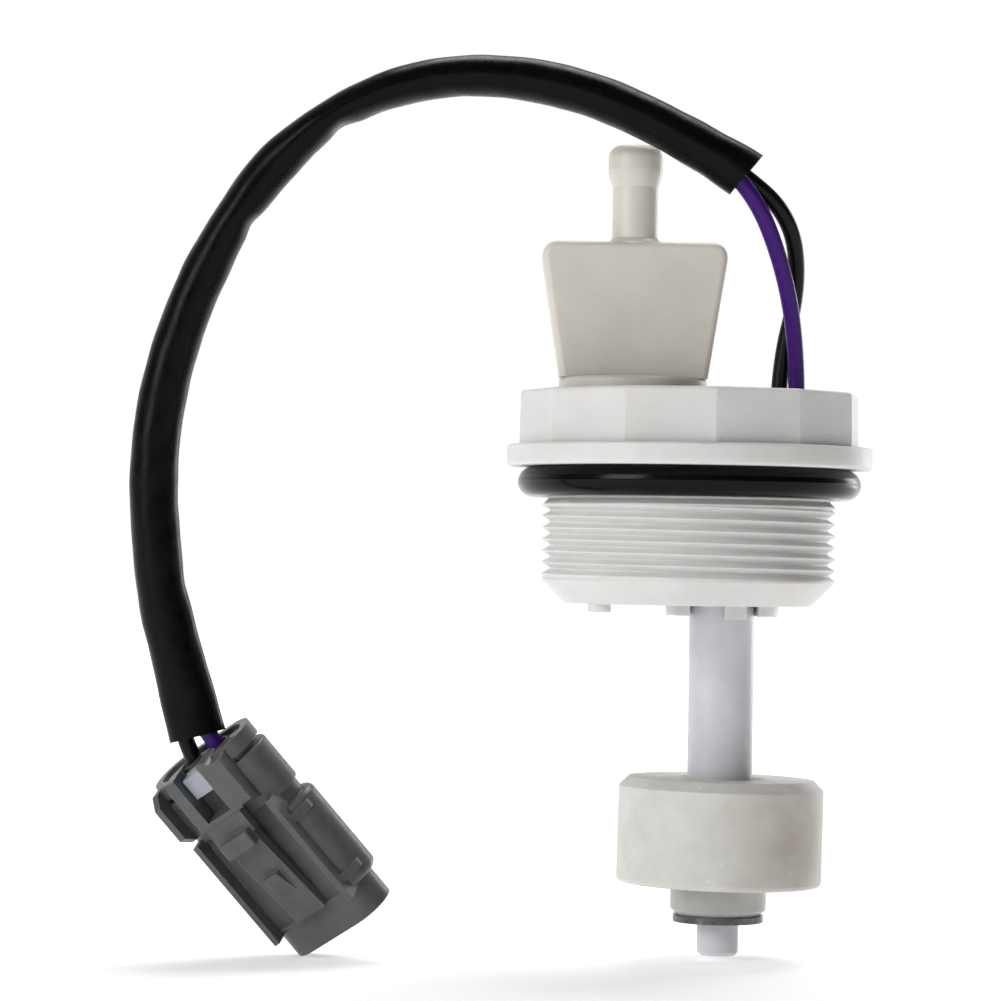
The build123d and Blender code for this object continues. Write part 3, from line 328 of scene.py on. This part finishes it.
def on_crest_cylinder(vertex):
    height = vertex.co.z / MM
    return at_crest(vertex) and THREAD_END - HEIGHT_TOLERANCE < height < THREAD_START + HEIGHT_TOLERANCE


def thread_row(mesh, height):
    ring = []
    for turn in range(AROUND_THREAD):
        angle = math.tau * turn / AROUND_THREAD
        radius = CREST_RADIUS - thread_cut(angle, height)
        spot = Vector((radius * math.cos(angle), radius * math.sin(angle), height))
        ring.append(mesh.verts.new(spot * MM))
    return ring


def threaded_head_mesh():
    """The head's mesh with its crest cylinder taken out and a threaded band put in."""
    mesh = bmesh.new()
    mesh.from_mesh(nodes["head_body"].data)
    bmesh.ops.remove_doubles(mesh, verts=mesh.verts, dist=WELD_DISTANCE * MM)
    crest = [face for face in mesh.faces if all(on_crest_cylinder(vertex) for vertex in face.verts)]
    bmesh.ops.delete(mesh, geom=crest, context="FACES")
    borders = {"upper": [], "lower": []}
    middle = (THREAD_START + THREAD_END) / 2 * MM
    for edge in mesh.edges:
        if edge.is_boundary and at_crest(edge.verts[0]):
            borders["upper" if edge.verts[0].co.z > middle else "lower"].append(edge)
    top = THREAD_START - HEIGHT_TOLERANCE
    length = top - THREAD_END - HEIGHT_TOLERANCE
    row_count = round((THREAD_START - THREAD_END) / PITCH * ROWS_PER_PITCH)
    rows = [thread_row(mesh, top - length * row / row_count) for row in range(row_count + 1)]
    for first, second in zip(rows, rows[1:]):
        band_between(mesh, first, second, True)
    for side, ring in (("upper", rows[0]), ("lower", rows[-1])):
        rim = [mesh.edges.get((vertex, ring[turn - 1])) for turn, vertex in enumerate(ring)]
        bmesh.ops.bridge_loops(mesh, edges=borders[side] + rim)
    bmesh.ops.recalc_face_normals(mesh, faces=mesh.faces)
    for face in mesh.faces:
        face.smooth = True
    made = bpy.data.meshes.new("head_body_threaded")
    mesh.to_mesh(made)
    mesh.free()
    normals = made.attributes.get("custom_normal")
    if normals:
        made.attributes.remove(normals)
    made.set_sharp_from_angle(angle=math.radians(THREAD_SHARP_ANGLE))
    return made


# Materials: noise scales in cycles a metre, depths and radii in millimetres
PATCH_RANGE = (0.32, 0.68)
CLOUD_RANGE = (0.3, 0.7)
ROUGHNESS_GRAIN = 0.4
LINE_WOBBLE = 0.0004
SPECK_CORE = 0.55
SPECK_GROUP_SCALE = 0.37
SPECK_GROUP_RANGE = (0.55, 0.62)
STAIN_CLOUD_SCALE = 260
STAIN_RANGE = (0.25, 0.7)
STAIN_LEAST = 0.45
# Painted edge highlight: its noise scale, the lean of the soft edge that it spans, and its least share
EDGE_HIGHLIGHT_CLOUD_SCALE = 900
EDGE_HIGHLIGHT_RANGE = (0.995, 0.86)
EDGE_HIGHLIGHT_LEAST = 0.35


def put(tree, kind, settings=(), values=()):
    node = tree.nodes.new(kind)
    for name, value in dict(settings).items():
        setattr(node, name, value)
    for name, value in dict(values).items():
        node.inputs[name].default_value = value
    return node


def grey(level):
    return (level, level, level, 1)


def noise_of(tree, place, scale, detail, roughness=0.5):
    node = put(tree, "ShaderNodeTexNoise", values={"Scale": scale, "Detail": detail, "Roughness": roughness})
    tree.links.new(place, node.inputs["Vector"])
    return node.outputs["Fac"]


def spread(tree, source, low, high, to_low, to_high):
    """The source's range from low to high, stretched to another range and cut off outside it."""
    limits = {"From Min": low, "From Max": high, "To Min": to_low, "To Max": to_high}
    node = put(tree, "ShaderNodeMapRange", values=limits)
    tree.links.new(source, node.inputs["Value"])
    return node.outputs["Result"]


def combine(tree, first, second, how="ADD"):
    """Two values, each a number or a socket, put through one operation."""
    node = put(tree, "ShaderNodeMath", {"operation": how})
    for socket, source in zip(node.inputs, (first, second)):
        if isinstance(source, (int, float)):
            socket.default_value = source
        else:
            tree.links.new(source, socket)
    return node.outputs["Value"]


def times(tree, first, second):
    return combine(tree, first, second, "MULTIPLY")


def mixed(tree, share, first, second):
    node = put(tree, "ShaderNodeMix", {"data_type": "RGBA"})
    tree.links.new(share, node.inputs["Factor"])
    for socket, source in ((node.inputs[6], first), (node.inputs[7], second)):
        if isinstance(source, tuple):
            socket.default_value = source
        else:
            tree.links.new(source, socket)
    return node.outputs[2]


def along_axis(tree, place, axis):
    apart = put(tree, "ShaderNodeSeparateXYZ")
    tree.links.new(place, apart.inputs["Vector"])
    return apart.outputs[axis]


def line_relief(tree, place, slow, spacing, deep):
    """Fine level lines, as a turned mould leaves them, a little wavy."""
    height = combine(tree, along_axis(tree, place, "Z"), times(tree, slow, LINE_WOBBLE))
    wave = combine(tree, times(tree, height, math.tau / (spacing * MM)), 0.0, "SINE")
    return times(tree, wave, deep)


def parting_relief(tree, place, axis, level, half_width, deep):
    """The raised line where the mould's halves met, across one axis at one level."""
    away = combine(tree, combine(tree, along_axis(tree, place, axis), -level * MM), 0.0, "ABSOLUTE")
    return times(tree, spread(tree, away, 0, half_width * MM, 1, 0), deep)


def speck_share(tree, place, scale, limit):
    dots = put(tree, "ShaderNodeTexVoronoi", values={"Scale": scale})
    tree.links.new(place, dots.inputs["Vector"])
    share = spread(tree, dots.outputs["Distance"], limit, limit * SPECK_CORE, 0, 1)
    groups = noise_of(tree, place, scale * SPECK_GROUP_SCALE, 1)
    return times(tree, share, spread(tree, groups, *SPECK_GROUP_RANGE, 0, 1))


def stain_share(tree, place, spot, reach):
    gap = put(tree, "ShaderNodeVectorMath", {"operation": "DISTANCE"})
    tree.links.new(place, gap.inputs[0])
    gap.inputs[1].default_value = tuple(value * MM for value in spot)
    near = spread(tree, gap.outputs["Value"], 0, reach * MM, 1, 0)
    cloud = noise_of(tree, place, STAIN_CLOUD_SCALE, 4, 0.6)
    return times(tree, near, spread(tree, cloud, *STAIN_RANGE, STAIN_LEAST, 1))


def edge_highlight_share(tree, place, soft_normal):
    """Share of the painted edge highlight: most where the soft edge leans away from the true face."""
    true_face = put(tree, "ShaderNodeNewGeometry").outputs["Normal"]
    lean = put(tree, "ShaderNodeVectorMath", {"operation": "DOT_PRODUCT"})
    tree.links.new(soft_normal, lean.inputs[0])
    tree.links.new(true_face, lean.inputs[1])
    edge_lift = spread(tree, lean.outputs["Value"], *EDGE_HIGHLIGHT_RANGE, 0, 1)
    cloud = noise_of(tree, place, EDGE_HIGHLIGHT_CLOUD_SCALE, 3)
    return times(tree, edge_lift, spread(tree, cloud, *CLOUD_RANGE, EDGE_HIGHLIGHT_LEAST, 1))


def finish_of(
    name,
    light,
    dark,
    patches,
    rough,
    rough_spread=0.06,
    grain=2600,
    grain_depth=0.004,
    swell=320,
    swell_depth=0.02,
    stretch=(1, 1, 1),
    rounding=0.12,
    edge_highlight_tint=None,
    lines=None,
    parting=None,
    specks=None,
    stain=None,
    shader_values=(),
):
    """A surface: two tones in soft patches, fine grain and slow swells in relief, soft edges, and with an
    edge tint a painted highlight along them.
    """
    made = bpy.data.materials.new(name)
    made.use_nodes = True
    tree = made.node_tree
    shader = tree.nodes["Principled BSDF"]
    place = put(tree, "ShaderNodeTexCoord").outputs["Object"]
    scaled = put(tree, "ShaderNodeMapping", values={"Scale": stretch})
    tree.links.new(place, scaled.inputs["Vector"])
    stretched = scaled.outputs["Vector"]

    fine = noise_of(tree, stretched, grain, 3)
    slow = noise_of(tree, stretched, swell, 2)
    relief = combine(tree, times(tree, fine, grain_depth), times(tree, slow, swell_depth))
    if lines:
        relief = combine(tree, relief, line_relief(tree, place, slow, *lines))
    if parting:
        relief = combine(tree, relief, parting_relief(tree, place, *parting))

    tone = spread(tree, noise_of(tree, stretched, patches, 5, 0.6), *PATCH_RANGE, 0, 1)
    colour = mixed(tree, tone, dark, light)
    if specks:
        scale, tint, limit = specks
        colour = mixed(tree, speck_share(tree, place, scale, limit), colour, tint)
    if stain:
        spot, reach, tint = stain
        colour = mixed(tree, stain_share(tree, place, spot, reach), colour, tint)
    soft = put(tree, "ShaderNodeBevel", {"samples": 6}, {"Radius": rounding * MM}).outputs["Normal"]
    # Painted highlight: a lighter tint along the rounded edges, standing in for light that catches them
    if edge_highlight_tint:
        colour = mixed(tree, edge_highlight_share(tree, place, soft), colour, edge_highlight_tint)

    bump = put(tree, "ShaderNodeBump", values={"Distance": MM, "Strength": 1.0})
    tree.links.new(relief, bump.inputs["Height"])
    tree.links.new(soft, bump.inputs["Normal"])
    tree.links.new(bump.outputs["Normal"], shader.inputs["Normal"])
    tree.links.new(colour, shader.inputs["Base Color"])
    dull = noise_of(tree, stretched, grain * ROUGHNESS_GRAIN, 3)
    roughness = spread(tree, dull, *CLOUD_RANGE, rough - rough_spread, rough + rough_spread)
    tree.links.new(roughness, shader.inputs["Roughness"])
    for key, value in dict(shader_values).items():
        shader.inputs[key].default_value = value
    return made


MILKY = {
    "Subsurface Weight": 0.18,
    "Subsurface Radius": (0.0016, 0.0013, 0.001),
    "Subsurface Scale": 1.0,
    "IOR": 1.5,
}
MILKIER = {**MILKY, "Subsurface Weight": 0.42}
RUBBER = {"IOR": 1.5, "Specular IOR Level": 0.16}
GLOSSY_BLACK = {"IOR": 1.5, "Specular IOR Level": 0.13}
DULL_BLACK = {"IOR": 1.5, "Specular IOR Level": 0.09}

white_nylon = finish_of(
    "white_nylon",
    light=(0.715, 0.712, 0.705, 1),
    dark=(0.672, 0.664, 0.65, 1),
    patches=170,
    rough=0.42,
    grain_depth=0.006,
    swell_depth=0.03,
    rounding=0.16,
    lines=(0.42, 0.0022),
    specks=(420, (0.58, 0.56, 0.52, 1), 0.08),
    shader_values=MILKIER,
)
beige_nylon = finish_of(
    "beige_nylon",
    light=(0.66, 0.63, 0.575, 1),
    dark=(0.60, 0.57, 0.51, 1),
    patches=120,
    rough=0.38,
    grain_depth=0.005,
    swell_depth=0.035,
    rounding=0.14,
    parting=("Y", 0.0, 0.07, 0.035),
    specks=(500, (0.55, 0.515, 0.455, 1), 0.08),
    shader_values=MILKIER,
)
stem_acetal = finish_of(
    "stem_acetal",
    light=(0.635, 0.648, 0.675, 1),
    dark=(0.575, 0.588, 0.615, 1),
    patches=210,
    rough=0.36,
    grain_depth=0.003,
    swell_depth=0.012,
    rounding=0.1,
    shader_values=MILKY,
)
bush_acetal = finish_of(
    "bush_acetal",
    light=(0.47, 0.475, 0.465, 1),
    dark=(0.40, 0.405, 0.39, 1),
    patches=260,
    rough=0.36,
    grain_depth=0.004,
    swell_depth=0.02,
    rounding=0.14,
    shader_values=MILKY,
)
float_nylon = finish_of(
    "float_nylon",
    light=(0.70, 0.69, 0.655, 1),
    dark=(0.62, 0.61, 0.57, 1),
    patches=240,
    rough=0.46,
    grain=1500,
    grain_depth=0.012,
    swell=420,
    swell_depth=0.05,
    rounding=0.22,
    specks=(650, (0.80, 0.80, 0.77, 1), 0.16),
    stain=((13.0, -8.0, -47.5), 12.5, (0.44, 0.375, 0.325, 1)),
    shader_values=MILKY,
)
dark_steel = finish_of(
    "dark_steel",
    light=(0.17, 0.166, 0.16, 1),
    dark=(0.085, 0.083, 0.08, 1),
    patches=700,
    rough=0.34,
    rough_spread=0.12,
    grain=3800,
    grain_depth=0.008,
    rounding=0.06,
    # Painted highlight along the washer's edges
    edge_highlight_tint=(0.5, 0.48, 0.44, 1),
    shader_values={"Metallic": 1.0},
)
black_rubber = finish_of(
    "black_rubber",
    light=(0.003, 0.0028, 0.0027, 1),
    dark=(0.002, 0.002, 0.002, 1),
    patches=300,
    rough=0.2,
    rough_spread=0.04,
    grain_depth=0.003,
    swell_depth=0.01,
    rounding=0.1,
    parting=("Z", -1.95, 0.09, 0.03),
    shader_values=GLOSSY_BLACK,
)
sleeve_vinyl = finish_of(
    "sleeve_vinyl",
    light=(0.003, 0.003, 0.0033, 1),
    dark=(0.002, 0.002, 0.0022, 1),
    patches=260,
    rough=0.31,
    rough_spread=0.08,
    grain=2200,
    grain_depth=0.010,
    swell=420,
    swell_depth=0.022,
    rounding=0.08,
    shader_values=DULL_BLACK,
)
black_vinyl = finish_of(
    "black_vinyl",
    light=(0.005, 0.0047, 0.0045, 1),
    dark=(0.003, 0.003, 0.003, 1),
    patches=300,
    rough=0.3,
    grain_depth=0.003,
    swell=380,
    swell_depth=0.006,
    rounding=0.05,
    shader_values=RUBBER,
)
violet_vinyl = finish_of(
    "violet_vinyl",
    light=(0.046, 0.0075, 0.150, 1),
    dark=(0.041, 0.0065, 0.134, 1),
    patches=90,
    rough=0.3,
    grain_depth=0.003,
    swell=380,
    swell_depth=0.006,
    rounding=0.05,
    shader_values=RUBBER,
)
connector_plastic = finish_of(
    "connector_plastic",
    light=(0.106, 0.107, 0.106, 1),
    dark=(0.082, 0.083, 0.082, 1),
    patches=420,
    rough=0.36,
    rough_spread=0.08,
    grain=4200,
    grain_depth=0.006,
    swell_depth=0.02,
    rounding=0.16,
    # Painted highlight along the housing's edges
    edge_highlight_tint=(0.24, 0.24, 0.242, 1),
    shader_values={"IOR": 1.5, "Specular IOR Level": 0.36},
)
retainer_plastic = finish_of(
    "retainer_plastic",
    light=(0.37, 0.41, 0.455, 1),
    dark=(0.32, 0.36, 0.405, 1),
    patches=300,
    rough=0.36,
    rounding=0.1,
    shader_values={"IOR": 1.5},
)
seal_silicone = finish_of(
    "seal_silicone",
    light=(0.155, 0.118, 0.092, 1),
    dark=(0.115, 0.088, 0.070, 1),
    patches=260,
    rough=0.42,
    grain_depth=0.006,
    rounding=0.1,
    shader_values=RUBBER,
)
tin_plate = finish_of(
    "tin_plate",
    light=(0.70, 0.69, 0.66, 1),
    dark=(0.58, 0.57, 0.55, 1),
    patches=500,
    rough=0.3,
    rough_spread=0.1,
    stretch=(1, 1, 6),
    rounding=0.05,
    shader_values={"Metallic": 1.0},
)
potting_epoxy = finish_of(
    "potting_epoxy",
    light=(0.34, 0.27, 0.17, 1),
    dark=(0.26, 0.20, 0.12, 1),
    patches=110,
    rough=0.16,
    grain_depth=0.001,
    swell=180,
    swell_depth=0.12,
    rounding=0.2,
    specks=(700, (0.5, 0.44, 0.33, 1), 0.12),
    shader_values={"IOR": 1.55, "Coat Weight": 0.4, "Coat Roughness": 0.08},
)
magnet_ferrite = finish_of(
    "magnet_ferrite",
    light=(0.075, 0.075, 0.08, 1),
    dark=(0.045, 0.045, 0.048, 1),
    patches=600,
    rough=0.55,
    grain_depth=0.02,
    rounding=0.15,
    shader_values={"Metallic": 0.4},
)
reed_glass = finish_of(
    "reed_glass",
    light=(0.82, 0.92, 0.86, 1),
    dark=(0.76, 0.88, 0.81, 1),
    patches=150,
    rough=0.06,
    rough_spread=0.02,
    grain_depth=0.0005,
    swell_depth=0.01,
    rounding=0.05,
    shader_values={"Transmission Weight": 0.92, "IOR": 1.5},
)
reed_metal = finish_of(
    "reed_metal",
    light=(0.62, 0.60, 0.55, 1),
    dark=(0.5, 0.48, 0.44, 1),
    patches=900,
    rough=0.25,
    rounding=0.03,
    shader_values={"Metallic": 1.0},
)
lead_copper = finish_of(
    "lead_copper",
    light=(0.72, 0.36, 0.20, 1),
    dark=(0.58, 0.28, 0.15, 1),
    patches=800,
    rough=0.28,
    rounding=0.03,
    shader_values={"Metallic": 1.0},
)

NODE_FINISHES = {
    "head_body": white_nylon,
    "drain_plug": beige_nylon,
    "sensor_stem": stem_acetal,
    "stop_bush": bush_acetal,
    "float": float_nylon,
    "float_magnet": magnet_ferrite,
    "push_on_washer": dark_steel,
    "flange_o_ring": black_rubber,
    "plug_upper_seal": black_rubber,
    "plug_seat_seal": black_rubber,
    "connector_housing": connector_plastic,
    "rear_retainer": retainer_plastic,
    "connector_seal": seal_silicone,
    "wire_seal_black": seal_silicone,
    "wire_seal_violet": seal_silicone,
    "terminal_black": tin_plate,
    "terminal_violet": tin_plate,
    "potting_resin": potting_epoxy,
    "reed_glass": reed_glass,
    "reed_blade_upper": reed_metal,
    "reed_blade_lower": reed_metal,
    "return_lead": lead_copper,
    "lead_sleeve": seal_silicone,
    "black_wire": black_vinyl,
    "violet_wire": violet_vinyl,
    "wire_sleeve": sleeve_vinyl,
}
for node_name, node_finish in NODE_FINISHES.items():
    for material_slot in nodes[node_name].material_slots:
        material_slot.material = node_finish


def dress(piece, node, body, material):
    """The piece stands for the node, which is hidden: same body, its own finish."""
    piece.data.materials.clear()
    piece.data.materials.append(material)
    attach(piece, body)
    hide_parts(node)


threaded_head = new_piece("head_body_threaded", threaded_head_mesh())
dress(threaded_head, "head_body", "head", white_nylon)

black_lead = route_curve("black_wire_smooth", BLACK_ROUTE, WIRE_RADIUS)
dress(black_lead, "black_wire", "head", black_vinyl)
violet_lead = route_curve("violet_wire_smooth", VIOLET_ROUTE, WIRE_RADIUS)
dress(violet_lead, "violet_wire", "head", violet_vinyl)

soft_mesh, sleeve_path, sleeve_length = sleeve_mesh()
soft_sleeve = new_piece("wire_sleeve_soft", soft_mesh)
dress(soft_sleeve, "wire_sleeve", "head", sleeve_vinyl)


# Floor and light
FLOOR_REACH = 4
FLOOR_TONE = 0.90
FLOOR_ROUGHNESS = 0.9
FLOOR_SHINE = 0.1
FLOOR_NEAR = 0.12
FLOOR_FAR = 0.8
FLOOR_GLOW_NEAR = 0.39
FLOOR_GLOW_FAR = 1.0
# Strength of the air by direction: from, to, and the shares there
BEHIND_RANGE = (0.22, 0.62, 0, 1)
RIGHT_RANGE = (0.35, 0.9, 1, 0.45)
LOW_RANGE = (0.3, 0.7, 1, 0.12)
AHEAD_RANGE = (-0.7, 0.5, 0.2, 0.03)
WHITE_STRENGTH = 1.02


def pale_floor():
    """A white floor that glows more with distance, so that its far edge is lost in the air."""
    made = bpy.data.materials.new("floor_white")
    made.use_nodes = True
    shader = made.node_tree.nodes["Principled BSDF"]
    shader.inputs["Base Color"].default_value = grey(FLOOR_TONE)
    shader.inputs["Roughness"].default_value = FLOOR_ROUGHNESS
    shader.inputs["Specular IOR Level"].default_value = FLOOR_SHINE
    shader.inputs["Emission Color"].default_value = grey(1)
    tree = made.node_tree
    gap = put(tree, "ShaderNodeVectorMath", {"operation": "LENGTH"})
    tree.links.new(put(tree, "ShaderNodeTexCoord").outputs["Object"], gap.inputs[0])
    glow = spread(tree, gap.outputs["Value"], FLOOR_NEAR, FLOOR_FAR, FLOOR_GLOW_NEAR, FLOOR_GLOW_FAR)
    tree.links.new(glow, shader.inputs["Emission Strength"])
    mesh = bpy.data.meshes.new("floor")
    signs = ((-1, -1), (1, -1), (1, 1), (-1, 1))
    corners = [(x * FLOOR_REACH, y * FLOOR_REACH, FLOOR_HEIGHT * MM) for x, y in signs]
    mesh.from_pydata(corners, [], [(0, 1, 2, 3)])
    mesh.materials.append(made)
    sheet = new_piece("floor", mesh)


def studio_air():
    """Light from all round: white behind and dimmer at the right, dim in front."""
    world = bpy.data.worlds.new("studio")
    world.use_nodes = True
    tree = world.node_tree
    apart = put(tree, "ShaderNodeSeparateXYZ")
    tree.links.new(put(tree, "ShaderNodeTexCoord").outputs["Generated"], apart.inputs["Vector"])
    across, depth, height = (apart.outputs[axis] for axis in "XYZ")
    ahead = spread(tree, across, *AHEAD_RANGE)
    behind = times(tree, spread(tree, depth, *BEHIND_RANGE), spread(tree, across, *RIGHT_RANGE))
    low_behind = times(tree, behind, spread(tree, height, *LOW_RANGE))
    white = times(tree, low_behind, combine(tree, WHITE_STRENGTH, ahead, "SUBTRACT"))
    tree.links.new(combine(tree, ahead, white), tree.nodes["Background"].inputs["Strength"])
    tree.nodes["Background"].inputs["Color"].default_value = grey(1)
    scene.world = world


def soft_light(name, place, aim, width, height, power):
    lamp = bpy.data.lights.new(name, "AREA")
    lamp.shape = "RECTANGLE"
    lamp.size = width
    lamp.size_y = height
    lamp.energy = power
    light = bpy.data.objects.new(name, lamp)
    light.location = place
    light.rotation_euler = (Vector(aim) - Vector(place)).to_track_quat("-Z", "Y").to_euler()
    scene.collection.objects.link(light)


pale_floor()
studio_air()
soft_light("key_left", (-0.62, -0.55, 0.30), (-0.02, 0, -0.01), width=0.40, height=0.50, power=3.7)
soft_light("rim_right", (0.50, 0.60, 0.08), (0, 0, 0), width=0.25, height=0.50, power=1.4)
soft_light("top_back", (0.10, 0.35, 0.70), (-0.02, 0, -0.03), width=0.60, height=0.40, power=4.4)
scene.view_settings.view_transform = "Standard"
scene.view_settings.look = "None"
